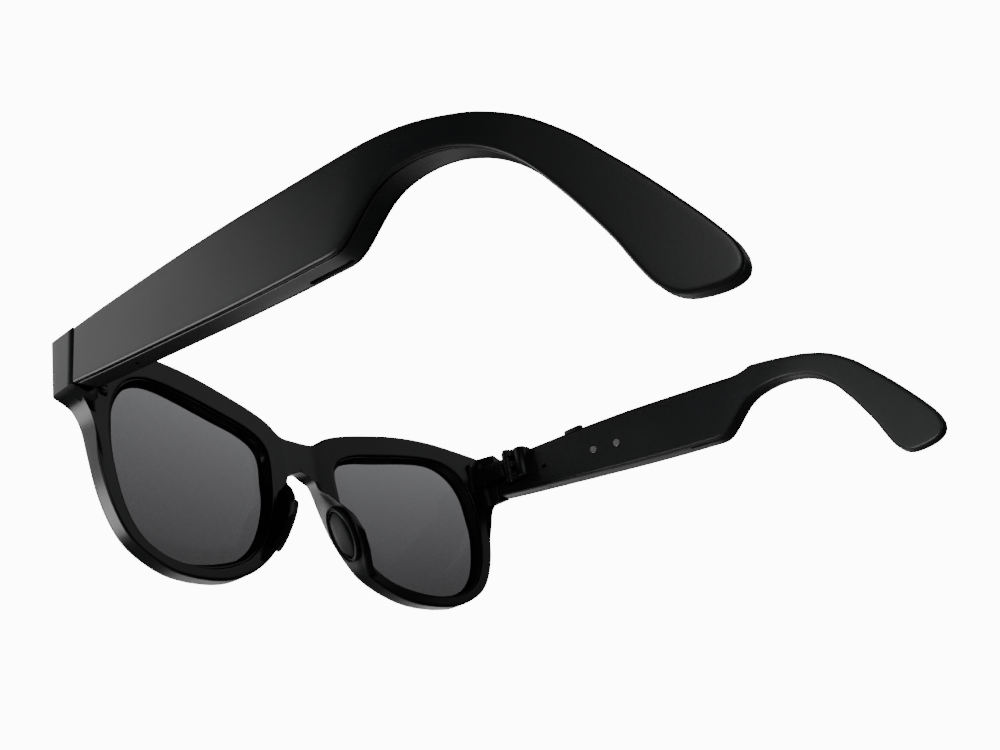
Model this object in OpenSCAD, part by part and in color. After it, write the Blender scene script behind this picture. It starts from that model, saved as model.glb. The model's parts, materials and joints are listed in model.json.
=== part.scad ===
// Smart glasses: a sunglasses front with two folding temples that carry the electronics.
// Standing open on a table: +Z is up, the lenses look along -Y, +X is the wearer's left.
// The origin is on the table under the middle of the glasses. The modules below are drawn from
// the seam between front and temples, and side() moves them to the middle. Sizes in millimetres.

/* [Front] */
// width over the end pieces
overall_w = 145; // [135:0.5:155]
// thickness of the rims, front to back
rim_t = 4.2; // [4:0.1:5]
// how far the front leans forward at the top
lean = 4.86; // [0:0.1:8]
// depth of the step behind each lens
step_d = 1.4; // [0.8:0.1:1.8]
// lens thickness
lens_t = 1.7; // [1.4:0.1:2]
// how far the nose wings stand out behind the rims
wing_d = 5.8; // [3:0.1:7]

/* [Temples] */
// temple thickness at the hinge
temple_t = 5.8; // [5:0.1:7]
// gap at the seam between the front and each temple
seam = 0.35; // [0.2:0.05:0.5]
// inward lean of the ear hooks, in mm per mm
hook_slope = 0.42; // [0.2:0.01:0.5]
// thickness of the outer cover
cover_t = 1.6; // [1.2:0.1:2]

/* [Hinges] */
// distance of each hinge pin from the middle
pin_x = 64.7; // [63:0.1:66]
// distance of each hinge pin behind the seam
pin_y = 7; // [6.5:0.1:7.2]
// pin radius
pin_r = 0.7; // [0.5:0.05:0.9]
// knuckle radius
knuckle_r = 1.6; // [1.3:0.05:1.8]

/* [Controls] */
// length of the push button on the right temple
button_l = 6.4; // [4:0.1:8]
// travel of the push button
button_travel = 0.35; // [0.2:0.05:0.5]
// radius of each charging contact
contact_r = 1.15; // [0.8:0.05:1.5]

/* [Hidden] */
$fn = 48;

half_w = overall_w / 2;
pad_flare = 12;
seam_z = 34.6;
mid_y = 55.07; // from the seam back to the middle of the glasses
seam_top = 47.6;
fit = 0.05;
black = [0.09, 0.09, 0.1];
black_inner = [0.13, 0.13, 0.14];
steel = [0.55, 0.56, 0.58];

// A smooth curve through control points: closed, and open from the second to the last but one.
function knot(a, b, c, d, t) = 0.5 * ((2 * b) + (c - a) * t + (2 * a - 5 * b + 4 * c - d) * t * t
    + (3 * b - a - 3 * c + d) * t * t * t);
function smooth_loop(p, n) = let(m = len(p)) [for (i = [0 : m - 1], k = [0 : n - 1])
    knot(p[(i + m - 1) % m], p[i], p[(i + 1) % m], p[(i + 2) % m], k / n)];
function smooth_line(p, n) = let(m = len(p)) [for (i = [0 : m - 2], k = [0 : n - 1])
    knot(p[max(i - 1, 0)], p[i], p[i + 1], p[min(i + 2, m - 1)], k / n), p[m - 1]];
// Moves an anticlockwise outline inwards by d.
function inset(p, d) = let(m = len(p)) [for (i = [0 : m - 1])
    let(v = p[(i + 1) % m] - p[(i + m - 1) % m]) p[i] + d * [-v[1], v[0]] / norm(v)];
function flip(p) = [for (i = [len(p) - 1 : -1 : 0]) [-p[i][0], p[i][1]]];

// Outlines of the front seen from behind the wearer's left half, as x and z.
rim_outer = smooth_line([[0, 35], [2.7, 34.6], [4.6, 33], [5.6, 30.2], [6.9, 25.4], [8.9, 19.8],
    [11.2, 15.2], [13.6, 11.3], [16.2, 8], [20.4, 4.9], [24.8, 2.7], [29, 1.2], [34, 0.3],
    [39.5, 0], [45.2, 0.4], [50.2, 1.9], [54.8, 4.3], [57.8, 6.9], [60.4, 10.8], [62.8, 16.6],
    [64.6, 24], [65.6, 28.6], [66.8, 31.4], [68.6, 33.5], [70.6, 34.4]], 4);
rim_top = smooth_line([[70, 48.2], [66, 49.4], [62, 50.1], [56.5, 51], [50, 51.9], [44.6, 52.3],
    [38, 52.2], [32, 51.7], [26, 50.8], [21.2, 50], [16, 48.9], [11.9, 47.7], [9.1, 46.5],
    [7, 44.9], [4.6, 44], [0, 43.9]], 4);
half_outline = concat(rim_outer, [[half_w, seam_z], [half_w, seam_top - 0.1]], rim_top);
opening = smooth_loop([[11.5, 27], [13.4, 20], [16.4, 13.6], [20.2, 9.2], [24.5, 6.2],
    [30, 4.1], [36, 2.9], [42, 2.8], [48, 3.8], [53, 6.2], [56.3, 10], [58.5, 14.6],
    [60, 20.8], [60.7, 26], [60.8, 31], [60.2, 36], [58.3, 40.3], [55.2, 43.6],
    [51, 45.6], [46, 46.2], [40, 46], [33, 45.3], [26, 44.3], [20, 43.3], [15.5, 41.8],
    [12.6, 39.8], [11.1, 37], [10.9, 34]], 4);

// Plan of the front: distance of its back surface behind the origin, at distance x from the middle.
function back_y(x) = x < 4.5 ? -14.25 : -14.8 + 0.1225 * x + 0.0005 * x * x;
function front_y(x) = x < 9 ? -18 : back_y(x) - rim_t;

// The slab between depths a and b in front of the curved back surface.
module wrap(a, b, n = 14) {
    s = [for (i = [-n : n]) half_w * 1.01 * i / n];
    translate([0, 0, 36]) rotate([lean, 0, 0]) translate([0, 0, -42]) linear_extrude(64)
        polygon(concat([for (x = s) [x, back_y(abs(x)) - a]],
            [for (i = [2 * n : -1 : 0]) [s[i], (b == rim_t ? front_y(abs(s[i]))
                : back_y(abs(s[i])) - b)]]));
}
// Stands an x, z outline up, running from y = a back to y = b.
module upright(a, b) translate([0, b, 0]) rotate([90, 0, 0]) linear_extrude(b - a) children();
// Lays a y, z outline across, running from x = a to x = b.
module across(a, b) translate([a, 0, 0]) rotate([90, 0, 90]) linear_extrude(b - a) children();
module both() { children(); mirror([1, 0, 0]) children(); }
// Puts a part on the wearer's left (1) or right (-1), centred front to back on the origin.
module side(s) translate([0, -mid_y, 0]) {
    if (s < 0) mirror([1, 0, 0]) children();
    else children();
}

// Frame of a nose pad: origin on the wing's wall, X across the wall towards the nose.
module at_pad() translate([9.9, -11.3, 18.3]) rotate([0, -25.4, 0]) mirror([1, 0, 0])
    rotate([0, 0, pad_flare]) children();
function oval(a, b) = [for (i = [0 : 47]) let(t = i * 7.5)
    [a * cos(t) * (cos(t) < 0 ? 0.9 : 1), b * sin(t)]];

// Moulded front: rims, bridge, nose wings and end pieces.
module front_frame() color(black) side(1) difference() {
    union() {
        intersection() {
            upright(-30, 10) polygon(concat(half_outline, flip(half_outline)));
            wrap(0, rim_t);
        }
        both() end_piece();
        both() nose_wing();
    }
    both() {
        intersection() {
            upright(-30, 10) polygon(opening);
            wrap(-3, step_d);
        }
        upright(-30, 10) polygon(inset(opening, 1.5));
        intersection() {
            upright(-30, 10) polygon(inset(opening, 0.6));
            wrap(step_d + 0.55, step_d + 0.55 + lens_t + 0.2);
        }
        at_pad() translate([-0.6, 0, 0]) rotate([90, 0, 90]) linear_extrude(6)
            polygon(oval(3.5 + fit, 7.75 + fit));
        hinge_pocket();
    }
}
// End piece: wraps back from the rim to the seam, with a filleted corner inside.
module end_piece() intersection() {
    translate([0, 0, seam_z]) linear_extrude(seam_top - seam_z) polygon(concat(
        [[half_w, 0], [half_w - temple_t, 0], [half_w - temple_t, -1.6]],
        [for (t = [10 : 20 : 90]) [half_w - temple_t - 2.6 + 2.6 * cos(t), -1.6 - 2.6 * sin(t)]],
        [[half_w - 9, -5.6], [half_w - 9, -8.2], [half_w - 3, -7.4]],
        [for (t = [10 : 20 : 90]) [half_w - 2 + 2 * sin(t), -5.3 - 2 * cos(t)]]));
    across(60, 80) polygon([[-10, 34.2], [0, seam_z], [0, seam_top], [-10, seam_top]]);
}
// Nose wing: a crescent that stands out behind the rim beside the nose.
module nose_wing() difference() {
    intersection() {
        upright(-16, 0) polygon(concat(
            [for (p = rim_outer) if (p[1] < 30.4 && p[0] < 18) p],
            smooth_line([[19, 7.4], [17.4, 10.6], [15, 14.6], [12.9, 19.4], [11.2, 24.4],
                [9.4, 28.6], [7.2, 31]], 4)));
        wrap(-wing_d, 1);
        across(4, 22) polygon(smooth_loop([[-9.4, 6.8], [-7, 10], [-5.6, 14.4], [-5.9, 19.4],
            [-7.6, 24.6], [-10.6, 28.4], [-14.4, 31.4], [-18, 24], [-17, 12], [-12, 6]], 4));
    }
    at_pad() translate([0, 0, -20]) cube([10, 20, 40]);
}
// Pocket in the back of the front that takes the hinge plate and its screws.
module hinge_pocket() {
    translate([61.2, -7.4, 36.9]) cube([5.1, 3.3, 9.4]);
    translate([63.3, -4.2, 38.6]) cube([2.8, 3.2, 5.7]);
    for (z = screw_z) translate([screw_x, -6.9, z]) rotate([90, 0, 0])
        cylinder(r = 0.6, h = 2, center = true);
}

// Tinted lens, held all round in the rim's groove.
module lens(s) color([0.2, 0.2, 0.21, 0.75]) side(s) intersection() {
    upright(-30, 10) polygon(inset(opening, 0.72));
    wrap(step_d + 0.65, step_d + 0.65 + lens_t);
}
// Soft nose pad: a raised oval ring around a low dome with a straight front edge.
module nose_pad(s) color(black_inner) side(s) at_pad() {
    translate([-0.6, 0, 0]) rotate([90, 0, 90]) {
        linear_extrude(0.9) polygon(oval(3.5, 7.75));
        linear_extrude(1.3) difference() {
            polygon(oval(3.5, 7.75));
            polygon(oval(2.9, 7.1));
        }
    }
    intersection() {
        translate([-14.4, 0.2, 0]) sphere(r = 16, $fn = 96);
        translate([0.1, 0, 0]) rotate([90, 0, 90]) linear_extrude(3) intersection() {
            polygon(oval(2.45, 6.6));
            translate([-2, -8]) square([6, 16]);
        }
    }
}
// Front hinge: a plate set into the back of the front, and a leaf with two knuckles.
module front_hinge(s) color(steel) side(s) difference() {
    union() {
        translate([61.3, -7.3, 37]) cube([4.9, 2.2, 9.2]);
        translate([63.4, -5.2, 38.8]) cube([2.6, pin_y + 3.4, 5.3]);
        for (z = knuckle_z(1)) {
            translate([63.4, 0, z]) cube([2.6, pin_y, knuckle_h]);
            translate([pin_x, pin_y, z]) cylinder(r = knuckle_r, h = knuckle_h);
        }
    }
    translate([pin_x, pin_y, 30]) cylinder(r = pin_r + fit, h = 20);
    for (y = [2.4, 3.7]) translate([63, y, 39.4]) cube([0.9, 0.7, 4.1]);
    for (z = screw_z) translate([screw_x, -6, z]) rotate([90, 0, 0]) {
        cylinder(r = 0.6, h = 4, center = true);
        translate([0, 0, -1.5]) cylinder(r = 1.05, h = 1.2);
    }
}
knuckle_h = 1.7;
screw_x = 62.4;
screw_z = [38.1, 45.1];
// The lower ends of the front knuckles (odd = 1) or of the temple knuckles (odd = 0).
function knuckle_z(odd) = [for (i = [0 : 4]) if (i % 2 == odd) 37 + i * (knuckle_h + 0.1)];
// Two small screws that hold the front hinge.
module hinge_screws(s) color(steel) side(s) for (z = screw_z)
    translate([screw_x, -6, z]) rotate([90, 0, 0]) difference() {
        union() {
            translate([0, 0, -1.1]) cylinder(r = 0.95, h = 0.8);
            translate([0, 0, -0.5]) cylinder(r = 0.55, h = 2.2);
        }
        translate([-0.6, -0.12, -1.2]) cube([1.2, 0.24, 0.35]);
    }
// Hinge pin with a slotted head.
module hinge_pin(s) color(steel) side(s) translate([pin_x, pin_y, 0]) difference() {
    union() {
        translate([0, 0, 36.5]) cylinder(r = pin_r, h = 9.5);
        translate([0, 0, 46.05]) cylinder(r = 1.25, h = 0.7);
        translate([0, 0, 45.9]) cylinder(r = pin_r, h = 0.3);
    }
    translate([-1, -0.15, 46.45]) cube([2, 0.3, 0.5]);
}
// Temple hinge: a rounded block on the temple's inner face with three knuckles.
module temple_hinge(s) color(steel) side(s) difference() {
    union() {
        translate([64.4, 9.6, 37]) cube([3.4, 4.3, 8.9]);
        translate([65.3, 11.7, 37]) cylinder(r = 2.1, h = 8.9);
        for (z = knuckle_z(0)) {
            translate([63.9, pin_y, z]) cube([1.9, 2.8, knuckle_h]);
            translate([pin_x, pin_y, z]) cylinder(r = knuckle_r, h = knuckle_h);
        }
    }
    translate([pin_x, pin_y, 30]) cylinder(r = pin_r + fit, h = 20);
}

// Temple outline seen from the side, as y and z.
temple_low = smooth_line([[seam, seam_z], [10, 33.15], [22.7, 31.4], [34.7, 29.75],
    [48, 27.95], [60, 26.5], [68, 25.7], [73, 25.25], [75.4, 25.9], [77.4, 27.3], [80.2, 29.8],
    [83, 32], [86, 33.25], [90, 33.75], [94, 33.5], [98, 32.4], [102.4, 30], [106.4, 26],
    [109.9, 20.1], [112.4, 15], [114.4, 10.4], [115.8, 6.2], [117.4, 2.6], [119.6, 0.6],
    [122.5, 0], [125.6, 0.1], [127.8, 0.9], [128.9, 2.6]], 4);
temple_high = smooth_line([[128.8, 5], [127.2, 8.4], [124.4, 13.1], [120.6, 19], [117, 24],
    [113.7, 28.3], [108.6, 33.2], [103.2, 36.4], [98.9, 38.1], [91.3, 40.3], [82.2, 41.9],
    [71.8, 43.1], [60, 44.3], [48.2, 45.45], [34, 46.4], [20.3, 47], [8, 47.4],
    [seam, 47.45]], 4);
temple_line = concat(temple_low, temple_high);

// Where the outer face stands at distance u along the temple, and how its thickness tapers.
function face_x(u) = half_w - (u < 66 ? 0 : u < 94 ? hook_slope * pow(u - 66, 2) / 56
    : hook_slope * (u - 80));
function taper(u) = u < 74 ? 1 : 1 - 0.38 * min(1, (u - 74) / 46);
// The bent sheet between depths a and b inside the temple's outer face.
module bend(a, b) {
    s = concat([-12], [for (u = [66 : 4 : 142]) u]);
    translate([0, 0, seam_z]) rotate([-30, 0, 0]) translate([0, 0, -60]) linear_extrude(150)
        polygon(concat([for (u = s) [face_x(u) - a * taper(u), u]],
            [for (i = [len(s) - 1 : -1 : 0]) [face_x(s[i]) - b * taper(s[i]), s[i]]]));
}
// A layer of the temple: its outline drawn in by d, between two depths.
module layer(a, b, d) intersection() {
    across(30, 80) polygon(inset(temple_line, d));
    bend(a, b);
}
// What slopes the temple's top edge down towards the inside, ahead of the ear hook.
module top_slope() translate([half_w - 0.6, -5, 47.45]) rotate([-3.55, 0, 0])
    rotate([0, -24, 0]) translate([-20, 0, 0]) cube([20, 100, 10]);
// Outer cover of the temple.
module temple_cover(s) color(black) side(s) difference() {
    union() {
        layer(0, 0.5, 0.5);
        layer(0.5, cover_t, 0);
    }
    top_slope();
}
// Inner housing with the ear hook, hollowed for the electronics.
module temple_housing(s) color(black_inner) side(s) difference() {
    union() {
        layer(cover_t + 0.02, temple_t - 1.5, 0.35);
        layer(temple_t - 1.5, temple_t - 0.6, 0.7);
        layer(temple_t - 0.6, temple_t, 1.2);
    }
    top_slope();
    translate([half_w - temple_t + 1.3, 15, 0]) across(0, 4) polygon([[0, 34.5], [59, 27.9],
        [59, 39.4], [0, 42.5]]);
    translate([63.1, 9.5, 36.9]) cube([4.8, 4.5, 9.1]);
    translate([68.3, 69, 26]) rotate([-6, 0, 0]) slot_shape(10.2, 1.2);
    translate([69.4, 17.3, 30]) cylinder(r = 0.45, h = 6);
    translate([half_w - temple_t - 1, 18.2, 37.9]) rotate([0, 90, 0]) cylinder(r = 0.5, h = 3);
    if (s < 0) {
        for (p = contact_at) translate([half_w - temple_t - 1, p[0], p[1]]) rotate([0, 90, 0])
            cylinder(r = contact_r + fit, h = 3);
        translate([69.2, button_y, 40]) slot_shape(button_l + 0.2, 2.4, 12);
    }
}
contact_at = [[35.6, 36.6], [43.3, 35.7]];
button_y = 29.2;
module slot_shape(l, w, h = 6) translate([0, 0, -h / 2]) linear_extrude(h) {
    square([w, l - w], center = true);
    for (y = [-1, 1]) translate([0, y * (l - w) / 2]) circle(d = w, $fn = 24);
}
// Battery cell behind the board.
module battery(s) color([0.45, 0.47, 0.5]) side(s) translate([68.2, 50.5, 0])
    across(0, 2.2) polygon([[0, 31.4], [10, 30.4], [10, 39.2], [0, 39.8]]);
// Circuit board.
module circuit_board(s) color([0.1, 0.3, 0.16]) side(s) translate([68.3, 15.6, 0]) {
    across(0, 0.8) polygon([[0, 35.2], [34, 31.5], [34, 39.8], [0, 41.6]]);
    across(0.8, 1.9) polygon([[24, 33.4], [32, 33], [32, 38.6], [24, 39]]);
}
// Flat speaker that sounds through the slot in the underside.
module speaker(s) color([0.2, 0.2, 0.22]) side(s) translate([68.2, 62, 0])
    across(0, 2.2) polygon([[0, 29.5], [11, 28.5], [11, 38.6], [0, 39.2]]);
// Woven mesh across the speaker slot.
module speaker_mesh(s) color([0.05, 0.05, 0.05]) side(s)
    translate([68.3, 69, 26.9]) rotate([-6, 0, 0]) slot_shape(10, 1, 0.4);
// Microphone behind its pinhole.
module microphone(s) color(steel) side(s)
    translate([69.4, 17.3, 33.4]) cylinder(r = 0.4, h = 0.6);
// Two round charging contacts on the right temple's inner face.
module charging_contacts() color([0.75, 0.72, 0.62]) side(-1) for (p = contact_at)
    translate([half_w - temple_t - 0.1, p[0], p[1]]) rotate([0, 90, 0])
        cylinder(r = contact_r, h = 1.2);
// Push button on the right temple's top edge.
module function_button() color(black) side(-1) translate([69.2, button_y, 0]) {
    translate([0, 0, 44.2]) slot_shape(button_l, 2.2, 2);
}
// Switch under the push button.
module button_switch() color(steel) side(-1)
    translate([68.3, button_y - 1.6, 41.8]) cube([1.8, 3.2, 1]);

front_frame();
lens(1);  // lens_left
lens(-1);  // lens_right
nose_pad(1);  // nose_pad_left
nose_pad(-1);  // nose_pad_right
front_hinge(1);  // front_hinge_left
front_hinge(-1);  // front_hinge_right
hinge_screws(1);  // hinge_screws_left
hinge_screws(-1);  // hinge_screws_right
hinge_pin(1);  // hinge_pin_left
hinge_pin(-1);  // hinge_pin_right
temple_hinge(1);  // temple_hinge_left
temple_hinge(-1);  // temple_hinge_right
temple_housing(1);  // temple_housing_left
temple_housing(-1);  // temple_housing_right
temple_cover(1);  // temple_cover_left
temple_cover(-1);  // temple_cover_right
battery(1);  // battery_left
battery(-1);  // battery_right
circuit_board(1);  // circuit_board_left
circuit_board(-1);  // circuit_board_right
speaker(1);  // speaker_left
speaker(-1);  // speaker_right
speaker_mesh(1);  // speaker_mesh_left
speaker_mesh(-1);  // speaker_mesh_right
microphone(1);  // microphone_left
microphone(-1);  // microphone_right
charging_contacts();
function_button();
button_switch();
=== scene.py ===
import json
import math
import bmesh
import bpy
from mathutils import Matrix, Vector


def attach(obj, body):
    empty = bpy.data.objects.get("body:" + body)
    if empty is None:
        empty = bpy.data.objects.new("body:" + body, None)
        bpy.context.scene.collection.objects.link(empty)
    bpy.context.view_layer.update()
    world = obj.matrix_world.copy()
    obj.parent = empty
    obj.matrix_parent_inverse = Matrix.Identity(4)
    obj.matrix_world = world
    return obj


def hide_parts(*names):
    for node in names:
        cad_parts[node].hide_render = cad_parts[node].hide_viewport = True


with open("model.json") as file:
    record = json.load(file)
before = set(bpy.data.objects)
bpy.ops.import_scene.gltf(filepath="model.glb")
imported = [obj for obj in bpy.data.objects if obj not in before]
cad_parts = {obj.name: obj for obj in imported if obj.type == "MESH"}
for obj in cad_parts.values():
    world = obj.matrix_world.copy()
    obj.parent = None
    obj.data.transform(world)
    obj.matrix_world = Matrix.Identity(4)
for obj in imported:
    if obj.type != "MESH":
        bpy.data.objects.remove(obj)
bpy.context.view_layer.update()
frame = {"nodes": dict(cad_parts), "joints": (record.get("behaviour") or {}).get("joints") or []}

# ---------------------------------------------------------------- front frame
# One injection moulding in black nylon: both rims, the bridge, the nose wings and the
# end pieces that turn back to the hinges. Its edges are rounded and its face is satin.
MM = 0.001
pin_at = [j["pos_m"] for j in frame["joints"] if j["name"] == "left_fold"][0]
PIN_Y = 7.0  # how far behind the seam each hinge pin stands
SEAM_Y = pin_at[1] - PIN_Y * MM  # all pieces are drawn in mm from the seam at the hinges


def smooth(points, n=6, closed=False):
    """A smooth curve through the points, n steps between each two."""
    m = len(points)
    out = []
    for i in range(m if closed else m - 1):
        if closed:
            a, b, c, d = (points[(i + k - 1) % m] for k in range(4))
        else:
            a, b, c, d = (points[min(max(i + k - 1, 0), m - 1)] for k in range(4))
        for k in range(n):
            t = k / n
            out.append(tuple(0.5 * (2 * q + (r - p) * t + (2 * p - 5 * q + 4 * r - s) * t * t
                                    + (3 * q - p - 3 * r + s) * t ** 3)
                             for p, q, r, s in zip(a, b, c, d)))
    return out if closed else out + [tuple(points[-1])]


def spaced(points, n):
    """n + 1 points evenly spaced along a line of points."""
    far = [0.0]
    for p, q in zip(points, points[1:]):
        far.append(far[-1] + math.dist(p, q))
    out, j = [], 0
    for i in range(n + 1):
        want = far[-1] * i / n
        while j < len(points) - 2 and far[j + 1] < want:
            j += 1
        f = (want - far[j]) / max(far[j + 1] - far[j], 1e-9)
        f = min(max(f, 0), 1)
        out.append(tuple(p + (q - p) * f for p, q in zip(points[j], points[j + 1])))
    return out


def ramp(x, table):
    """The value at x on a table of (x, value) pairs in rising order."""
    if x <= table[0][0]:
        return table[0][1]
    for (x0, v0), (x1, v1) in zip(table, table[1:]):
        if x <= x1:
            return v0 + (v1 - v0) * (x - x0) / (x1 - x0)
    return table[-1][1]


def skin(bm, rows, closed=True, ring=False):
    """Joins rows of points with four-sided faces; closed joins each row's ends."""
    made = [[bm.verts.new(Vector(p) * MM) for p in row] for row in rows]
    pairs = list(zip(made, made[1:])) + ([(made[-1], made[0])] if ring else [])
    for a, b in pairs:
        n = len(a)
        for i in range(n if closed else n - 1):
            j = (i + 1) % n
            bm.faces.new((a[i], a[j], b[j], b[i]))
    return made


def finish_piece(bm, name, body, node=None, mat=None, sharp=38, mirror=False):
    """Turns the modelled mesh into a named piece that rides on its body."""
    if mirror:
        for v in bm.verts:
            v.co.x = -v.co.x
    bmesh.ops.remove_doubles(bm, verts=bm.verts[:], dist=1e-6)
    bmesh.ops.dissolve_degenerate(bm, edges=bm.edges[:], dist=1e-7)
    bmesh.ops.translate(bm, vec=(0, SEAM_Y, 0), verts=bm.verts[:])
    bmesh.ops.recalc_face_normals(bm, faces=bm.faces[:])
    for f in bm.faces:
        f.smooth = True
    for e in bm.edges:
        if len(e.link_faces) == 2 and e.calc_face_angle(0) > math.radians(sharp):
            e.smooth = False
    mesh = bpy.data.meshes.new(name)
    bm.to_mesh(mesh)
    bm.free()
    obj = bpy.data.objects.new(name, mesh)
    bpy.context.scene.collection.objects.link(obj)
    if mat:
        mesh.materials.append(mat)
    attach(obj, body)
    if node:
        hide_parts(*([node] if isinstance(node, str) else node))
    return obj


def material(name, color, rough=0.45, metallic=0.0, grain=900.0, bump=0.08, vary=0.08,
             coat=0.0, edge_highlight=0.0):
    """A solid finish with uneven roughness and colour, a fine grain and a painted highlight that
    lightens its sharp edges.
    """
    mat = bpy.data.materials.new(name)
    mat.use_nodes = True
    nt = mat.node_tree
    bsdf = nt.nodes["Principled BSDF"]
    place = nt.nodes.new("ShaderNodeTexCoord")
    cloud = nt.nodes.new("ShaderNodeTexNoise")
    cloud.inputs["Scale"].default_value = 60
    cloud.inputs["Detail"].default_value = 4
    nt.links.new(place.outputs["Object"], cloud.inputs["Vector"])
    fine = nt.nodes.new("ShaderNodeTexNoise")
    fine.inputs["Scale"].default_value = grain
    fine.inputs["Detail"].default_value = 3
    nt.links.new(place.outputs["Object"], fine.inputs["Vector"])
    tone = nt.nodes.new("ShaderNodeMix")
    tone.data_type = "RGBA"
    tone.inputs["A"].default_value = (*[c * 0.86 for c in color], 1)
    tone.inputs["B"].default_value = (*[min(c * 1.14, 1) for c in color], 1)
    nt.links.new(cloud.outputs["Fac"], tone.inputs["Factor"])
    colour = tone.outputs["Result"]
    # painted highlight: colour on sharply convex edges, found by pointiness, is lightened towards a
    # bright tone
    if edge_highlight:
        geo = nt.nodes.new("ShaderNodeNewGeometry")
        highlight_mask = nt.nodes.new("ShaderNodeMapRange")
        highlight_mask.inputs["From Min"].default_value = 0.52
        highlight_mask.inputs["From Max"].default_value = 0.62
        highlight_mask.inputs["To Max"].default_value = edge_highlight
        nt.links.new(geo.outputs["Pointiness"], highlight_mask.inputs["Value"])
        painted_edge_highlight = nt.nodes.new("ShaderNodeMix")
        painted_edge_highlight.data_type = "RGBA"
        painted_edge_highlight.inputs["B"].default_value = (*[min(c * 2.2 + 0.02, 1) for c in color], 1)
        nt.links.new(highlight_mask.outputs["Result"], painted_edge_highlight.inputs["Factor"])
        nt.links.new(colour, painted_edge_highlight.inputs["A"])
        colour = painted_edge_highlight.outputs["Result"]
    nt.links.new(colour, bsdf.inputs["Base Color"])
    spread = nt.nodes.new("ShaderNodeMapRange")
    spread.inputs["To Min"].default_value = max(rough - vary, 0.02)
    spread.inputs["To Max"].default_value = rough + vary
    nt.links.new(cloud.outputs["Fac"], spread.inputs["Value"])
    nt.links.new(spread.outputs["Result"], bsdf.inputs["Roughness"])
    relief = nt.nodes.new("ShaderNodeBump")
    relief.inputs["Strength"].default_value = bump
    relief.inputs["Distance"].default_value = 0.0001
    nt.links.new(fine.outputs["Fac"], relief.inputs["Height"])
    nt.links.new(relief.outputs["Normal"], bsdf.inputs["Normal"])
    bsdf.inputs["Metallic"].default_value = metallic
    bsdf.inputs["Coat Weight"].default_value = coat
    return mat


frame_black = material("frame_satin_black", (0.011, 0.0115, 0.0125), 0.32, grain=1400, bump=0.05,
                       vary=0.04, edge_highlight=0.12)

HALF_W = 72.5
SEAM_Z, SEAM_TOP = 34.6, 47.5
TEMPLE_T = 5.8
RIM_T, BRIDGE_T = 4.1, 3.75
LEAN = math.radians(4.86)
WING_TILT = math.radians(13)

BRIDGE_LOW, BRIDGE_TOP = 35, 43.9
# outlines of the wearer's left half, in x and z
arch = smooth([(0, BRIDGE_LOW), (2.7, 34.6), (4.6, 33), (5.6, 30.2), (6.9, 25.4), (8.9, 19.8),
               (11.2, 15.2), (13.6, 11.3), (16.2, 8), (20.4, 4.95), (24.8, 2.75), (29, 1.25),
               (34, 0.35), (39.5, 0.05)])
cheek = smooth([(39.5, 0.05), (45.2, 0.45), (50.2, 1.95), (54.8, 4.3), (57.8, 6.9), (60.4, 10.8),
                (62.8, 16.6), (64.6, 24), (65.6, 28.6), (66.8, 31.4), (68.6, 33.5),
                (70.6, 34.4), (HALF_W, SEAM_Z)])
brow = smooth([(HALF_W, SEAM_TOP), (70, 48.1), (66, 49.3), (62, 50.05), (56.5, 50.95),
               (50, 51.85), (44.6, 52.2), (38, 52.15), (32, 51.65), (26, 50.75), (21.2, 49.95),
               (16, 48.85), (11.9, 47.65), (9.1, 46.4), (7, 44.9), (4.6, 44),
               (0, BRIDGE_TOP)])
STEPS = 8
hole = smooth([(11.3, 30.5), (12.2, 24), (14.6, 17), (18, 11.4), (22.4, 7.4), (27, 5.1),
               (32.5, 3.4), (38, 2.75), (43.5, 2.85), (48.5, 4), (53, 6.3), (56.3, 10),
               (58.5, 14.8), (60, 20.8), (60.7, 26), (60.8, 31), (60.2, 36), (58.3, 40.3),
               (55.2, 43.6), (51, 45.6), (46, 46.2), (40, 46), (33, 45.3), (26, 44.3),
               (20, 43.3), (15.5, 41.8), (12.6, 39.8), (11.2, 36.6)], STEPS, True)
hole.append(hole[0])
# Rays run from the outline in to the lens hole. Each stretch of the outline has its own stretch of
# the hole, counted in curve steps, and its own number of rays.
hole_stops = [STEPS * k for k in (0, 7, 15, 17, 27, 28)]
stretches = [("arch", arch, 64), ("cheek", cheek, 46),
             ("end", [(HALF_W, SEAM_Z), (HALF_W, SEAM_TOP)], 12), ("brow", brow, 62),
             ("middle", [(0, BRIDGE_TOP), (0, BRIDGE_LOW)], 9)]
inner, outer, kind = [], [], []
for k, (stretch, line, n) in enumerate(stretches):
    inner += spaced(hole[hole_stops[k]:hole_stops[k + 1] + 1], n)[:-1]
    outer += spaced(line, n)[:-1]
    kind += [stretch] * n


def ease(t):
    """0 to 1 with a soft start and end."""
    t = min(max(t, 0), 1)
    return t * t * (3 - 2 * t)


def back(x, z):
    """How far back the front's rear surface stands at x, z."""
    x = abs(x)
    flat = -14.25
    bent = -14.8 + 0.1225 * x + 0.0005 * x * x
    return flat + (bent - flat) * ease((x - 3.6) / 2.6) + (36 - z) * math.tan(LEAN)


def fore(x, z):
    """How far back the front's outer face stands at x, z."""
    return back(x, z) - BRIDGE_T - (RIM_T - BRIDGE_T) * ease((abs(x) - 6) / 6)


# how far back the nose wing's crest stands, and how far the rim widens back under the end
# piece, by height
crest = [(7.2, -10.6), (8.6, -9.6), (11, -8.5), (14.4, -7.2), (19.4, -6.5), (24.6, -7.9),
         (28.4, -10.8), (30.2, -13), (31.4, -16)]
underside = [(22, 0), (24, 0.5), (27, 1.2), (32, 1.6), (33.4, 1.9), (34.4, 3.0)]
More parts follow.
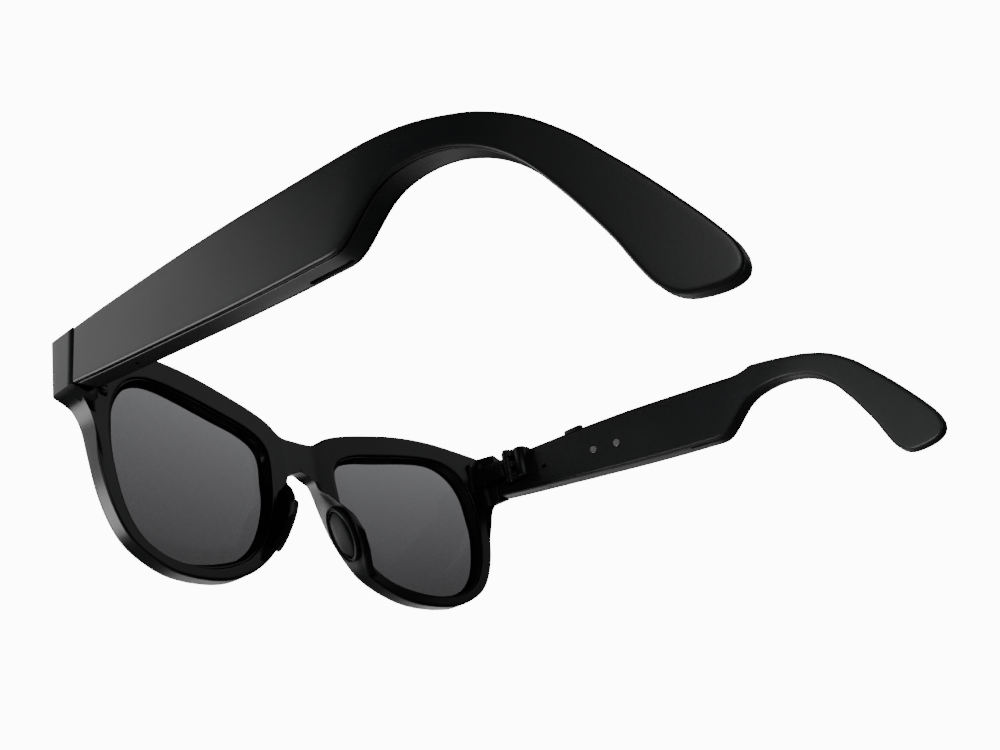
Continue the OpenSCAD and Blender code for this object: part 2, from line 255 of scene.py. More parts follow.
# stretches of the profile round the rim, as pairs: how far in from the edge, and depth or lift
LENS_STEP = ((1.5, 3.6), (1.5, 1.95), (0.62, 1.2), (0.6, 0.6), (0.54, 0.52), (0.22, 0.52),
             (0.16, 0.6), (0.14, 1.0), (0, 1.0), (0, 0.2), (-0.07, 0.05), (-0.24, 0))
REAR_FACE = (0.08, 0.17, 0.26, 0.35, 0.44, 0.53, 0.62, 0.72, 0.82, 0.92)
END_FILLET = ((2.2, 0), (1.2, 0.3), (0.45, 0.9), (0.08, 1.7))
REAR_EDGE = ((0.75, 0), (0.6, -0.01), (0.45, -0.03), (0.3, -0.08), (0.16, -0.17), (0.07, -0.28))
FRONT_EDGE = ((0, 0.8), (0.03, 0.6), (0.11, 0.39), (0.25, 0.2), (0.44, 0.07), (0.68, 0.01))
FRONT_LIP = ((-0.3, 0), (0.3, 0.3), (1.5, 0.5))
FLARE_REACH = 2.6
HOLE_LAND, EDGE_LAND, FILLET_LAND = 0.3, 0.9, 2.4  # margins at the ends of the rear face
FACE_LAND = 1.7
END_FACE, END_SIDE = -0.2, 0.0


def rim_profile(k):
    """The closed profile of the front along ray k, from the lens groove round to it again."""
    ox, oz = outer[k]
    ix, iz = inner[k]
    full = math.dist((ox, oz), (ix, iz))
    dx, dz = (ix - ox) / full, (iz - oz) / full
    corner = kind[k] == "middle" and abs(oz - BRIDGE_TOP) < 1e-6
    flush = kind[k] == "middle" and not corner  # lies on the middle plane, with no rounded edge
    if k == 0:
        dx, dz = 0.0, 1.0
    if corner:
        dx, dz = 0.0, -1.0
    end_piece = ox > 67.4 and oz > 34 and (kind[k] != "cheek" or ox > HALF_W - 0.05)
    flare = ramp(oz, underside) if kind[k] == "cheek" and ox > 60 and not end_piece else 0.0
    foot = (ox - (HALF_W - TEMPLE_T)) / max(ox - ix, 1e-6) * full if end_piece else 0.0
    wing = max(ramp(oz, crest) - back(ox, oz), 0) if kind[k] == "arch" and ox < 19.5 else 0.0

    def along(inset):
        return ox + (ix - ox) * inset / full, oz + (iz - oz) * inset / full

    def beside(out_by):
        return ix + (ix - ox) / full * out_by, iz + (iz - oz) / full * out_by

    def rear(inset, lift=0.0):
        x, z = along(inset)
        rise = ease(1 - (inset / full - 0.42) / 0.34) * wing
        return x + rise * math.tan(WING_TILT), back(x, z) + rise + lift, z

    path = []
    for out_by, depth in LENS_STEP:
        x, z = beside(out_by)
        path.append((x, back(x, z) - depth, z))
    start = foot + FILLET_LAND if end_piece else EDGE_LAND
    for t in REAR_FACE:
        inset = (full - HOLE_LAND) * (1 - t) + start * t
        path.append(rear(inset, flare * max(1 - inset / FLARE_REACH, 0) ** 2))
    if end_piece:
        for inset, lift in END_FILLET:
            x, y, z = rear(foot + inset, lift)
            path.append((x, min(y, END_FACE), z))
        for inset, y in ((foot, -0.15), (foot - 0.15 if foot > 0.4 else foot * 0.8, END_SIDE),
                         (min(0.25, foot * 0.2), END_SIDE)):
            x, z = along(inset)
            path.append((x, y, z))
        wall_y = END_FACE
        path.append((ox, wall_y, oz))
    else:
        for inset, lift in REAR_EDGE:
            x, y, z = rear(0 if flush else inset, 0 if flush else lift)
            path.append((x, y + flare * (1 - inset / FLARE_REACH) ** 2, z))
        x, y, z = rear(0, flare)
        for drop in (0.4, 0.5):
            path.append((x, y if flush else y - drop, z))
        wall_y = path[-1][1]
    # outer wall, then the rounded front edge and the front face
    wall_end = fore(ox, oz) + FRONT_EDGE[0][1]
    lean_x = path[-1][0] - ox
    for t in (0.25, 0.5, 0.75):
        y = wall_y + (wall_end - wall_y) * t
        over = max(y - back(ox, oz), 0) / max(wing, 1e-6) if wing > 0.1 else 0
        path.append((ox + lean_x * min(over, 1), y, oz))
    for inset, depth in FRONT_EDGE:
        x, z = (ox, oz) if flush else (ox + dx * inset, oz + dz * inset)
        path.append((x, fore(x, z) + (0 if flush else depth), z))
    for t in (0.2, 0.5, 0.8):
        x, z = along(full * t * 0.9 if flush else FACE_LAND + (full - 0.6 - FACE_LAND) * t)
        path.append((x, fore(x, z), z))
    for out_by, depth in FRONT_LIP:
        x, z = beside(out_by)
        path.append((x, fore(x, z) + depth, z))
    return path


bm = bmesh.new()
skin(bm, [rim_profile(k) for k in range(len(inner))], closed=True, ring=True)
seam_faces = [f for f in bm.faces if all(abs(v.co.x) < 1e-6 for v in f.verts)]
bmesh.ops.delete(bm, geom=seam_faces, context="FACES")
half = bm.verts[:] + bm.edges[:] + bm.faces[:]
for part in bmesh.ops.duplicate(bm, geom=half)["geom"]:
    if isinstance(part, bmesh.types.BMVert):
        part.co.x = -part.co.x
bmesh.ops.remove_doubles(bm, verts=bm.verts[:], dist=2e-6)
finish_piece(bm, "front_moulding", "front", "front_frame", frame_black, sharp=50)

# ---------------------------------------------------------------- lenses
# Two tinted sheets, slightly curved, snapped into the grooves of the rims. The tint is darker
# towards the bottom and both faces are polished.
LENS_H = 0.05
tint = bpy.data.materials.new("lens_tint")
tint.use_nodes = True
nt = tint.node_tree
polish = nt.nodes["Principled BSDF"]
polish.inputs["Base Color"].default_value = (0.012, 0.012, 0.013, 1)
polish.inputs["Specular IOR Level"].default_value = 0.1
where = nt.nodes.new("ShaderNodeTexCoord")
haze = nt.nodes.new("ShaderNodeTexNoise")
haze.inputs["Scale"].default_value = 40
nt.links.new(where.outputs["Object"], haze.inputs["Vector"])
film = nt.nodes.new("ShaderNodeMapRange")
film.inputs["To Min"].default_value = 0.05
film.inputs["To Max"].default_value = 0.12
nt.links.new(haze.outputs["Fac"], film.inputs["Value"])
nt.links.new(film.outputs["Result"], polish.inputs["Roughness"])
split = nt.nodes.new("ShaderNodeSeparateXYZ")
nt.links.new(where.outputs["Object"], split.inputs["Vector"])
level = nt.nodes.new("ShaderNodeMath")
level.operation = "MULTIPLY"
level.inputs[1].default_value = 1 / LENS_H
nt.links.new(split.outputs["Z"], level.inputs[0])
shade = nt.nodes.new("ShaderNodeValToRGB")
shade.color_ramp.elements[0].color = (0.0605, 0.0605, 0.0615, 1)
shade.color_ramp.elements[1].color = (0.1178, 0.1178, 0.121, 1)
nt.links.new(level.outputs[0], shade.inputs["Fac"])
clear = nt.nodes.new("ShaderNodeBsdfTransparent")
nt.links.new(shade.outputs["Color"], clear.inputs["Color"])
both = nt.nodes.new("ShaderNodeAddShader")
nt.links.new(polish.outputs["BSDF"], both.inputs[0])
nt.links.new(clear.outputs["BSDF"], both.inputs[1])
nt.links.new(both.outputs["Shader"], nt.nodes["Material Output"].inputs["Surface"])
LENS_REAR, LENS_FRONT = 2.1, 3.7  # depths of the lens faces behind the rim's rear face
LENS_MIDDLE = (36.0, 25.0)
FACE_START = 9
LENS_EDGE = ((FACE_START, LENS_REAR), (1.0, LENS_REAR), (0.82, 2.14), (0.76, 2.3), (0.76, 3.5),
             (0.82, 3.66), (1.0, LENS_FRONT), (FACE_START, LENS_FRONT))


def lens_point(x, z, share, depth):
    """The point at a depth whose distance from the lens's middle is a share of x, z's."""
    cx, cz = LENS_MIDDLE
    px, pz = cx + (x - cx) * share, cz + (z - cz) * share
    return px, back(px, pz) - depth, pz


for side in ("left", "right"):
    bm = bmesh.new()
    edge_line = [(x, z, math.dist((x, z), LENS_MIDDLE)) for x, z in spaced(hole, 160)[:-1]]
    made = skin(bm, [[lens_point(x, z, 1 - out_by / r, depth) for x, z, r in edge_line]
                     for out_by, depth in LENS_EDGE])
    for last, depth in ((made[0], LENS_REAR), (made[-1], LENS_FRONT)):
        for f in (0.72, 0.45, 0.2):
            new = [bm.verts.new(Vector(lens_point(x, z, f * (1 - FACE_START / r), depth)) * MM)
                   for x, z, r in edge_line]
            for i in range(len(new)):
                j = (i + 1) % len(new)
                bm.faces.new((last[i], last[j], new[j], new[i]))
            last = new
        hub = bm.verts.new(Vector(lens_point(*LENS_MIDDLE, 0, depth)) * MM)
        for i in range(len(last)):
            bm.faces.new((last[i], last[(i + 1) % len(last)], hub))
    finish_piece(bm, "lens_sheet_" + side, "front", "lens_" + side, tint,
                 mirror=side == "right")

# ---------------------------------------------------------------- nose pads
# Soft rubber ovals pressed into the nose wings: a raised ring round a low dome whose front
# side is cut straight, so that it flexes against the nose.
pad_rubber = material("pad_rubber_matt", (0.03, 0.03, 0.033), 0.5, grain=2200, bump=0.12, vary=0.06)
pad_place = (Matrix.Translation((9.9, -11.3, 18.3)) @ Matrix.Rotation(math.radians(-25.4), 4, "Y")
             @ Matrix.Scale(-1, 4, (1, 0, 0)) @ Matrix.Rotation(math.radians(12), 4, "Z"))


def oval(a, b, t, cut=9.0):
    """A point of the pad's oval, half sizes a and b, cut straight on its front side."""
    c, s = math.cos(t), math.sin(t)
    return max(a * c * (0.9 if c < 0 else 1), -cut), b * s


def dome(y, z):
    """The height of the low dome inside the ring."""
    return math.sqrt(16 ** 2 - (y - 0.2) ** 2 - z * z) - 14.4


PAD_FLOOR = 0.72
# the raised ring, as half sizes and height, from the buried foot over the crest to the floor
PAD_RING = ((3.2, 7.4, -0.6), (3.5, 7.75, -0.45), (3.5, 7.75, 0.8), (3.47, 7.72, 1.02),
            (3.37, 7.62, 1.2), (3.2, 7.44, 1.29), (3.04, 7.26, 1.22), (2.94, 7.14, 1.05),
            (2.9, 7.1, 0.85), (2.82, 7.02, 0.74), (2.6, 6.8, PAD_FLOOR))
# the dome, as half sizes, the straight cut and how far below the dome's curve; None is the floor
PAD_DOME = ((2.46, 6.62, 1.9, None), (2.42, 6.5, 1.86, 0.5), (2.36, 6.38, 1.8, 0.22),
            (2.24, 6.2, 1.7, 0.06), (2.05, 5.9, 1.55, 0), (1.7, 5.0, 1.3, 0),
            (1.2, 3.6, 0.95, 0), (0.6, 1.8, 0.5, 0), (0.1, 0.3, 0.09, 0))
for side in ("left", "right"):
    bm = bmesh.new()
    turn = [2 * math.pi * i / 72 for i in range(72)]
    rows = [[pad_place @ Vector((h, *oval(a, b, t))) for t in turn] for a, b, h in PAD_RING]
    for a, b, cut, drop in PAD_DOME:
        flat = [oval(a, b, t, cut) for t in turn]
        rows.append([pad_place @ Vector((PAD_FLOOR if drop is None else dome(y, z) - drop, y, z))
                     for y, z in flat])
    made = skin(bm, rows)
    bm.faces.new(made[0])
    bm.faces.new(made[-1])
    finish_piece(bm, "nose_rubber_" + side, "front", "nose_pad_" + side, pad_rubber,
                 sharp=50, mirror=side == "right")

# ---------------------------------------------------------------- temples
# Each temple is two mouldings glued together: a thin outer cover, and a hollow housing that
# runs on into the ear hook. A groove shows where they meet, and a second one under the lid.
SEAM_GAP = 0.35
low = smooth([(SEAM_GAP, 34.6), (10, 33.15), (22.7, 31.4), (34.7, 29.75), (48, 27.95), (60, 26.5),
              (68, 25.7), (73, 25.25), (75.4, 25.9), (77.4, 27.3), (80.2, 29.8), (83, 32),
              (86, 33.25), (90, 33.75), (94, 33.5), (98, 32.4), (102.4, 30), (106.4, 26),
              (109.9, 20.1), (112.4, 15), (114.4, 10.4), (115.8, 6.2), (117.4, 2.6),
              (119.6, 0.6), (122.5, 0.02), (125.6, 0.12), (127.7, 0.9), (128.65, 2.2),
              (128.85, 3.6)])
TOP_Z = 47.45
high = smooth([(SEAM_GAP, TOP_Z), (8, 47.4), (20.3, 47), (34, 46.4), (48.2, 45.45), (60, 44.3),
               (71.8, 43.1), (82.2, 41.9), (91.3, 40.3), (98.9, 38.1), (103.2, 36.4),
               (108.6, 33.2), (113.7, 28.3), (117, 24), (120.6, 19), (124.4, 13.1),
               (127, 8.7), (128.4, 5.8), (128.85, 3.6)])
lower, upper = [], []
# curve steps of the lower and upper edge that lie opposite each other, and rows between them
for a, b, c, d, n in ((0, 36, 0, 36, 42), (36, 78, 36, 48, 26), (78, 102, 48, 72, 18),
                      (102, 126, 72, 90, 14), (126, 168, 90, 108, 22)):
    lower += spaced(low[a:b + 1], n)[:-1]
    upper += spaced(high[c:d + 1], n)[:-1]
tip = low[-1]
ACROSS = 8
rim = (lower + [tip] + upper[::-1]
       + [(SEAM_GAP, TOP_Z + (SEAM_Z - TOP_Z) * j / ACROSS) for j in range(1, ACROSS)])


# the ear hook leans inwards, past a bend that runs across the temple at a tilt, and gets thinner
BEND_TILT = math.radians(30)
BEND_START, BEND_END = 66, 94
HOOK_LEAN = 0.42
THIN_START, THIN_LENGTH, THINNING = 74, 46, 0.38


def face_x(u):
    """Where a temple's outer face stands at distance u along it."""
    if u < BEND_START:
        return HALF_W
    if u < BEND_END:
        return HALF_W - HOOK_LEAN * (u - BEND_START) ** 2 / (2 * (BEND_END - BEND_START))
    return HALF_W - HOOK_LEAN * (u - (BEND_START + BEND_END) / 2)


def temple_point(y, z, depth):
    """The point of a temple at y, z and a depth inside its outer face."""
    u = y * math.cos(BEND_TILT) - (z - SEAM_Z) * math.sin(BEND_TILT)
    thin = 1 - THINNING * min(max(u - THIN_START, 0) / THIN_LENGTH, 1)
    return face_x(u) - depth * thin, y, z


TOP_SLOPE = 0.445


def ring_at(depth, inset):
    """The temple's outline drawn in by inset, at a depth, under its sloping top."""
    out, m = [], len(rim)
    for i in range(m):
        (ay, az), (by, bz) = rim[i - 1], rim[(i + 1) % m]
        y, z = rim[i]
        size = math.dist((ay, az), (by, bz))
        ny, nz = y - (bz - az) / size * inset, z + (by - ay) / size * inset
        if y < SEAM_GAP + 0.05:  # the flat end at the seam keeps its place
            ny = SEAM_GAP + min(0.3 * inset, 0.15)
            nz = z + (inset if i == 0 else -inset if i == m - ACROSS else 0)
            nz = min(max(nz, SEAM_Z + inset), TOP_Z - inset)
        x = temple_point(ny, nz, depth)[0]
        fade = min(max((ny - 78) / 18, 0), 1)
        slope = TOP_SLOPE * (1 - ease(fade))
        lid = ramp(ny, high) + 0.1 + 9 * fade ** 3 - max(HALF_W - 0.6 - x, 0) * slope
        nz = min(nz, lid - 0.7 * inset)
        out.append(temple_point(ny, nz, depth))
    return out


def temple_shell(bm, rings):
    """A closed temple moulding from outline rings (depth, inset), filled at both faces."""
    rows = [ring_at(*r) for r in rings]
    made = skin(bm, rows)
    n = len(lower)
    for row, verts, (depth, _) in ((rows[0], made[0], rings[0]), (rows[-1], made[-1], rings[-1])):
        grid = []
        for i in range(n):
            if i == 0:
                grid.append([verts[0]] + [verts[-j] for j in range(1, ACROSS)] + [verts[2 * n]])
                continue
            a, b = row[i], row[2 * n - i]
            line = [verts[i]]
            for j in range(1, ACROSS):
                y, z = (a[k] + (b[k] - a[k]) * j / ACROSS for k in (1, 2))
                line.append(bm.verts.new(Vector(temple_point(y, z, depth)) * MM))
            grid.append(line + [verts[2 * n - i]])
        for p, q in zip(grid, grid[1:]):
            for j in range(ACROSS):
                bm.faces.new((p[j], p[j + 1], q[j + 1], q[j]))
        for j in range(ACROSS):
            bm.faces.new((grid[-1][j], grid[-1][j + 1], verts[n]))


def carved(bm, tools, op="DIFFERENCE"):
    """The mesh with each tool mesh cut from it, or joined to it."""
    for tool in tools:
        objs = []
        for b in (bm, tool):
            bmesh.ops.recalc_face_normals(b, faces=b.faces[:])
            mesh = bpy.data.meshes.new("scratch")
            b.to_mesh(mesh)
            b.free()
            objs.append(bpy.data.objects.new("scratch", mesh))
            bpy.context.scene.collection.objects.link(objs[-1])
        mod = objs[0].modifiers.new("cut", "BOOLEAN")
        mod.operation, mod.solver, mod.object = op, "EXACT", objs[1]
        bpy.context.view_layer.update()
        done = bpy.data.meshes.new_from_object(
            objs[0].evaluated_get(bpy.context.evaluated_depsgraph_get()))
        bm = bmesh.new()
        bm.from_mesh(done)
        for o in objs:
            mesh = o.data
            bpy.data.objects.remove(o)
            bpy.data.meshes.remove(mesh)
        bpy.data.meshes.remove(done)
    return bm


def post(centre, radius, length, axis="Z", round_by=0.0, sides=40):
    """A round post from centre along an axis, with rounded rims."""
    bm = bmesh.new()
    turn = {"Z": Matrix(), "X": Matrix.Rotation(math.pi / 2, 4, "Y"),
            "Y": Matrix.Rotation(-math.pi / 2, 4, "X")}[axis]
    r = round_by
    line = [(radius - r, 0), (radius - 0.3 * r, 0.3 * r), (radius, r), (radius, length - r),
            (radius - 0.3 * r, length - 0.3 * r), (radius - r, length)]
    if not r:
        line = [(radius, 0), (radius, length)]
    rows = [[Vector(centre) + turn @ Vector((q * math.cos(2 * math.pi * i / sides),
                                             q * math.sin(2 * math.pi * i / sides), h))
             for i in range(sides)] for q, h in line]
    made = skin(bm, rows)
    bm.faces.new(made[0])
    bm.faces.new(made[-1])
    return bm


def bar(points, base, height, axis="Z", round_by=0.0):
    """A straight bar with the outline given, standing along an axis, with rounded ends."""
    bm = bmesh.new()
    mid = Vector((sum(p[0] for p in points), sum(p[1] for p in points))) / len(points)
    steps = [(base, 0), (base + height, 0)]
    if round_by:
        r = round_by
        steps = [(base, r), (base + 0.3 * r, 0.3 * r), (base + r, 0),
                 (base + height - r, 0), (base + height - 0.3 * r, 0.3 * r), (base + height, r)]
    rows = []
    for h, inset in steps:
        row = []
        for p in points:
            v = Vector(p)
            v = v + (mid - v).normalized() * inset * 1.2
            row.append((v.x, v.y, h) if axis == "Z" else (h, v.x, v.y))
        rows.append(row)
    made = skin(bm, rows)
    bm.faces.new(made[0])
    bm.faces.new(made[-1])
    return bm


def soft_box(x0, x1, y0, y1, r):
    """A rectangle with rounded corners, as outline points."""
    out = []
    for cx, cy, start in ((x1 - r, y1 - r, 0), (x0 + r, y1 - r, 90), (x0 + r, y0 + r, 180),
                          (x1 - r, y0 + r, 270)):
        for k in range(5):
            t = math.radians(start + k * 22.5)
            out.append((cx + r * math.cos(t), cy + r * math.sin(t)))
    return out


cover_black = material("cover_satin_black", (0.011, 0.0115, 0.0125), 0.33, grain=1700, bump=0.06,
                       vary=0.04, edge_highlight=0.1)
housing_black = material("housing_satin_black", (0.022, 0.023, 0.0245), 0.38, grain=1500, bump=0.08,
                         vary=0.05, edge_highlight=0.1)
INNER_FACE = HALF_W - TEMPLE_T
BUTTON_X, BUTTON_Y = 69.2, 29.2
CONTACTS = ((35.6, 36.6), (43.3, 35.7))
SLOT_X, SLOT_Y, SLOT_R, SLOT_HALF = 68.3, 69, 0.55, 4.5
# profiles across the edge of each moulding, as depth inside the outer face and inset
COVER_EDGE = ((1.57, 1.3), (1.55, 1.0), (0.86, 0.92), (0.8, 0.75), (0.76, 0.14), (0.66, 0.02),
              (0.5, 0.0), (0.36, 0.04), (0.22, 0.13), (0.1, 0.28), (0.02, 0.48), (0.0, 0.72),
              (0.0, 1.5))
HOUSING_EDGE = ((1.64, 1.4), (1.62, 1.02), (1.14, 0.98), (1.08, 0.7), (1.1, 0.14), (1.2, 0.03),
                (3.0, 0.0), (4.5, 0.0), (4.82, 0.06), (4.86, 0.45), (5.06, 0.47), (5.1, 0.1),
                (5.24, 0.12), (5.44, 0.2), (5.62, 0.36), (5.74, 0.58), (5.79, 0.85),
                (5.8, 1.15), (5.8, 2.4))
half_turn = [math.pi * (k - 4) / 8 for k in range(9)]
speaker_slot = [(SLOT_X - SLOT_R * math.sin(t) * end, SLOT_Y + (SLOT_HALF + SLOT_R * math.cos(t)) * end)
                for end in (1, -1) for t in half_turn]
full_turn = [2 * math.pi * k / 24 for k in range(24)]
inner_mic_hole = [(18.2 + 0.9 * math.cos(t), 37.9 + 0.5 * math.sin(t) - 0.06 * math.cos(t))
                  for t in full_turn]
for side in ("left", "right"):
    bm = bmesh.new()
    temple_shell(bm, COVER_EDGE)
    finish_piece(bm, "cover_" + side, side + "_temple", "temple_cover_" + side,
                 cover_black, mirror=side == "right")
    bm = bmesh.new()
    temple_shell(bm, HOUSING_EDGE)
    tools = [bar(soft_box(63.1, 67.9, 9.5, 14.0, 0.3), 36.9, 9.1),  # pocket for the hinge
             bar(speaker_slot, 22, 6.2),
             post((69.4, 17.3, 31), 0.45, 4.2),  # microphone hole in the underside
             bar(inner_mic_hole, INNER_FACE - 1, 2.2, "X")]
    if side == "right":
        for y, z in CONTACTS:
            tools.append(post((INNER_FACE - 1, y, z), 1.22, 1.5, "X"))
        tools.append(bar(soft_box(BUTTON_X - 1.2, BUTTON_X + 1.2, BUTTON_Y - 3.3, BUTTON_Y + 3.3,
                                  1.15), 43.4, 5))
    bm = carved(bm, tools)
    finish_piece(bm, "housing_" + side, side + "_temple", "temple_housing_" + side,
                 housing_black, mirror=side == "right")

# ---------------------------------------------------------------- hinges
# Five-knuckle hinges in blackened steel. The front half is a plate screwed to the back of the
# front, with a slotted leaf; the rear half is a rounded block let into the temple. A pin with
# a slotted head goes through the knuckles.
steel_black = material("hinge_blackened_steel", (0.02, 0.0205, 0.022), 0.4, 0.3, grain=2600,
                       bump=0.08, vary=0.05, edge_highlight=0.1)
screw_steel = material("screw_steel", (0.09, 0.09, 0.095), 0.35, 0.9, grain=3000, bump=0.08,
                       vary=0.06, edge_highlight=0.15)
KNUCKLE, KNUCKLE_R = 1.7, 1.6
PIN = (64.7, PIN_Y)
PIN_R, PIN_HOLE_R = 0.7, 0.75
FRONT_KNUCKLES, REAR_KNUCKLES = (38.8, 42.4), (37, 40.6, 44.2)
SCREW_X, SCREW_Z = 62.4, (38.1, 45.1)


def knuckle(z, reach):
    """A knuckle with its pin hole at height z, with an arm that reaches along Y."""
    bm = bmesh.new()
    rows = [[], [], [], []]
    for i in range(64):
        t = math.pi * i / 32
        c, s = math.cos(t), math.sin(t)
        far = KNUCKLE_R
        if s * reach > 0:
            far = max(far, min(abs(reach / s), 1.15 / max(abs(c), 1e-6)))
        for row, r, h in zip(rows, (PIN_HOLE_R, far, far, PIN_HOLE_R), (0, 0, KNUCKLE, KNUCKLE)):
            row.append((PIN[0] + r * c, PIN[1] + r * s, z + h))
    skin(bm, rows, ring=True)
    return bm


def gather(pieces):
    """One mesh holding all the given closed meshes."""
    bm = bmesh.new()
    for one in pieces:
        mesh = bpy.data.meshes.new("scratch")
        one.to_mesh(mesh)
        one.free()
        bm.from_mesh(mesh)
        bpy.data.meshes.remove(mesh)
    return bm


def screw(z):
    """A small countersunk screw with a slot, in the hinge plate at height z."""
    return carved(post((SCREW_X, -5.7, z), 0.95, 0.78, "Y", 0.15),
                  [bar(soft_box(61, 64, -5.15, -4.7, 0.05), z - 0.13, 0.26)])


# the rear block's outline: flat sides in the temple and a round ridge towards the head
RIDGE_X, RIDGE_Y, RIDGE_R = 65.3, 11.7, 2.1
ridge = [(67.7, 13.85), (66.4, 13.85), (66.0, 13.55)]
ridge += [(RIDGE_X - RIDGE_R * math.sin(math.radians(t)), RIDGE_Y + RIDGE_R * math.cos(math.radians(t)))
          for t in range(15, 171, 13)]
ridge += [(65.1, 9.65), (67.7, 9.65)]
for side in ("left", "right"):
    flip = side == "right"
    leaf = carved(bar(soft_box(63.4, 66.0, -5.4, 5.2, 0.3), 38.8, 5.3, round_by=0.08),
                  [bar(soft_box(63, 63.9, y, y + 0.7, 0.1), 39.4, 4.1) for y in (2.4, 3.7)])
    plate = carved(bar(soft_box(61.3, 66.2, -7.3, -5.1, 0.3), 37, 9.2, round_by=0.25),
                   [post((SCREW_X, -5.5, z), 1.05, 1, "Y") for z in SCREW_Z])
    bm = gather([plate, leaf] + [knuckle(z, -2.6) for z in FRONT_KNUCKLES])
    finish_piece(bm, "front_leaf_" + side, "front", "front_hinge_" + side,
                 steel_black, mirror=flip)
    bm = gather([screw(z) for z in SCREW_Z])
    finish_piece(bm, "plate_screws_" + side, "front", "hinge_screws_" + side,
                 screw_steel, mirror=flip)
    bm = carved(post((*PIN, 36.55), PIN_R, 9.6, round_by=0.1),
                [post((*PIN, 46.06), 1.25, 0.68, round_by=0.2)], "UNION")
    bm = carved(bm, [bar(soft_box(63, 66.4, PIN_Y - 0.14, PIN_Y + 0.14, 0.05), 46.45, 0.6),
                     bar(soft_box(63, 66.4, PIN_Y - 0.12, PIN_Y + 0.12, 0.05), 36.2, 0.6)])
    finish_piece(bm, "pin_" + side, "front", "hinge_pin_" + side, screw_steel,
                 mirror=flip)
    bm = gather([bar(ridge, 37, 8.9, round_by=0.2)] + [knuckle(z, 3.2) for z in REAR_KNUCKLES])
    finish_piece(bm, "rear_block_" + side, side + "_temple", "temple_hinge_" + side,
                 steel_black, mirror=flip)

# ---------------------------------------------------------------- controls
# The push button is a satin bar in a slot of the right temple's top edge; the two charging
# contacts are plated studs flush with the inner face, each in a shallow round recess.
contact_metal = material("contact_plating", (0.42, 0.42, 0.42), 0.4, 0.9, grain=2500, bump=0.1,
                         vary=0.08, edge_highlight=0.3)
BUTTON_HALF_W, BUTTON_HALF_L = 1.1, 3.2
bm = bmesh.new()
rows = []
for z, inset in ((43.2, 0), (45.9, 0), (46.15, 0.06), (46.32, 0.22), (46.38, 0.5)):
    half_w, half_l = BUTTON_HALF_W - inset, BUTTON_HALF_L - inset
    outline = soft_box(BUTTON_X - half_w, BUTTON_X + half_w, BUTTON_Y - half_l, BUTTON_Y + half_l,
                       1.05 - 0.8 * inset)
    rows.append([(x, y, z) for x, y in outline])
made = skin(bm, rows)
bm.faces.new(made[0])
bm.faces.new(made[-1])
finish_piece(bm, "button_bar", "button", "function_button", housing_black,
             mirror=True)
bm = gather([post((INNER_FACE - 0.02, y, z), 1.1, 1.1, "X", 0.1) for y, z in CONTACTS])
finish_piece(bm, "contact_studs", "right_temple", "charging_contacts",
             contact_metal, sharp=20, mirror=True)

# ---------------------------------------------------------------- parts inside the temples
# Foil cells, circuit boards, speakers behind cloth meshes, microphones and the button's switch.
# They lie in the hollow of the housing, where only a mesh shows through its slot, so their plain
# shapes stay as they are.
inside = {
    "battery": material("cell_foil", (0.55, 0.57, 0.6), 0.35, 0.9, grain=500, bump=0.3),
    "circuit_board": material("solder_mask", (0.02, 0.12, 0.05), 0.35, grain=1200, bump=0.15,
                              coat=0.4),
    "speaker_mesh": material("mesh_fabric", (0.012, 0.012, 0.012), 0.7, grain=6000, bump=0.6),
    "speaker": material("speaker_case", (0.06, 0.06, 0.065), 0.5, grain=900, bump=0.2),
    "microphone": material("mic_can", (0.5, 0.5, 0.52), 0.35, 1.0, grain=1500, bump=0.15),
    "button_switch": material("switch_can", (0.55, 0.55, 0.57), 0.35, 1.0, grain=1500, bump=0.15),
}
for name, node in frame["nodes"].items():
    for part, finish in inside.items():
        if name in (part, part + "_left", part + "_right"):
            if not node.material_slots:
                node.data.materials.append(finish)
            for slot in node.material_slots:
                slot.material = finish

# ---------------------------------------------------------------- camera, floor and light
# A pale floor well below, a white glowing sheet behind and soft panels all round, as in a small
# studio. The sheet shows only directly and through the lenses, so it puts no glare on the sides.
cam_data = bpy.data.cameras.new("camera")
cam = bpy.data.objects.new("camera", cam_data)
bpy.context.scene.collection.objects.link(cam)
right_way = Vector((-0.6068, 0.7763, -0.1706))
up_way = Vector((0.2558, 0.3939, 0.8828))
rear_way = Vector((0.7525, 0.4921, -0.4376))
cam_place = Matrix((right_way, up_way, rear_way)).transposed().to_4x4()
cam_place.translation = Vector((0.16632, 0.16129 + SEAM_Y, -0.06274))
cam.matrix_world = cam_place
cam_data.lens = 35
cam_data.sensor_width = 36
cam_data.clip_start = 0.01
bpy.context.scene.camera = cam


def panel(name, size, place, aim, power):
    """A soft rectangular light aimed at a point."""
    data = bpy.data.lights.new(name, "AREA")
    data.shape = "RECTANGLE"
    data.size, data.size_y = size
    data.energy = power
    lamp = bpy.data.objects.new(name, data)
    bpy.context.scene.collection.objects.link(lamp)
    lamp.location = place
    lamp.rotation_euler = (Vector(aim) - Vector(place)).to_track_quat("-Z", "Y").to_euler()
    return lamp


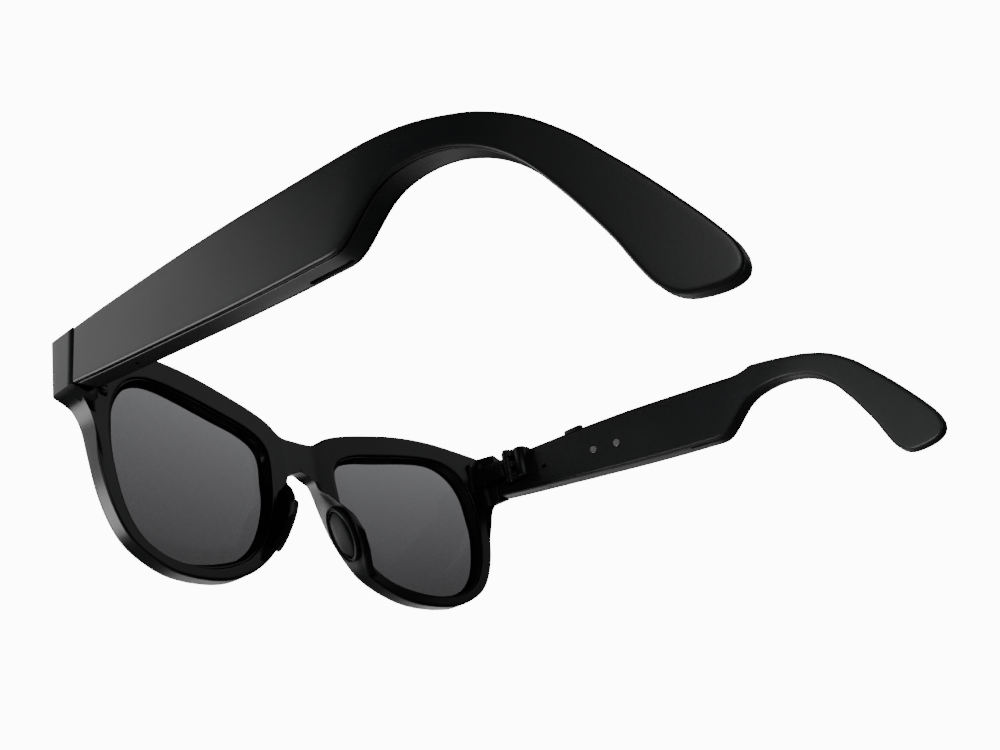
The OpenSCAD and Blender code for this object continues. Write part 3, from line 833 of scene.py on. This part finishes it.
world = bpy.data.worlds.new("studio")
bpy.context.scene.world = world
world.use_nodes = True
world.node_tree.nodes["Background"].inputs["Color"].default_value = (0.95, 0.97, 1, 1)
world.node_tree.nodes["Background"].inputs["Strength"].default_value = 0.02
middle = (0, -0.025, 0.03)
panel("front_left_panel", (0.7, 0.7), (0.53, -0.955, 0.5), middle, 1.85)
panel("ear_panel", (0.36, 0.36), (0.8, 0.62, 0.1), middle, 1.4)
panel("low_panel", (0.6, 0.4), (0.66, -0.905, -0.33), middle, 0.86)
panel("nose_panel", (0.75, 0.6), (0.78, -0.82, -0.24), middle, 6.8)
panel("rim_panel", (0.6, 0.5), (-0.6, -0.83, -0.28), middle, 0.9)
panel("under_panel", (0.5, 0.5), (-0.53, -0.54, -0.66), middle, 0.35)
panel("far_panel", (0.45, 0.4), (-0.95, -0.6, -0.3), middle, 0.35)
panel("brow_panel", (0.7, 0.5), (-0.74, 0.605, 0.66), middle, 0.5)

# the sheet behind
bm = bmesh.new()
bmesh.ops.create_grid(bm, x_segments=1, y_segments=1, size=0.5)
mesh = bpy.data.meshes.new("backdrop")
bm.to_mesh(mesh)
bm.free()
sheet = bpy.data.objects.new("backdrop", mesh)
bpy.context.scene.collection.objects.link(sheet)
SHEET_AWAY = 0.75
sheet_at = cam_place.translation - rear_way * SHEET_AWAY
sheet.matrix_world = Matrix.Translation(sheet_at) @ cam_place.to_3x3().to_4x4()
glow = bpy.data.materials.new("backdrop_paper")
glow.use_nodes = True
nt = glow.node_tree
nt.nodes.remove(nt.nodes["Principled BSDF"])
lit = nt.nodes.new("ShaderNodeEmission")
lit.inputs["Strength"].default_value = 12
nt.links.new(lit.outputs["Emission"], nt.nodes["Material Output"].inputs["Surface"])
mesh.materials.append(glow)
sheet.visible_glossy = False
sheet.visible_diffuse = False

# the floor
FLOOR_Z = -1.2
bm = bmesh.new()
bmesh.ops.create_grid(bm, x_segments=1, y_segments=1, size=4)
for v in bm.verts:
    v.co.z = FLOOR_Z
mesh = bpy.data.meshes.new("floor")
bm.to_mesh(mesh)
bm.free()
floor = bpy.data.objects.new("floor", mesh)
bpy.context.scene.collection.objects.link(floor)
mesh.materials.append(material("floor_paint", (0.8, 0.8, 0.8), 0.6, grain=40, bump=0.02))
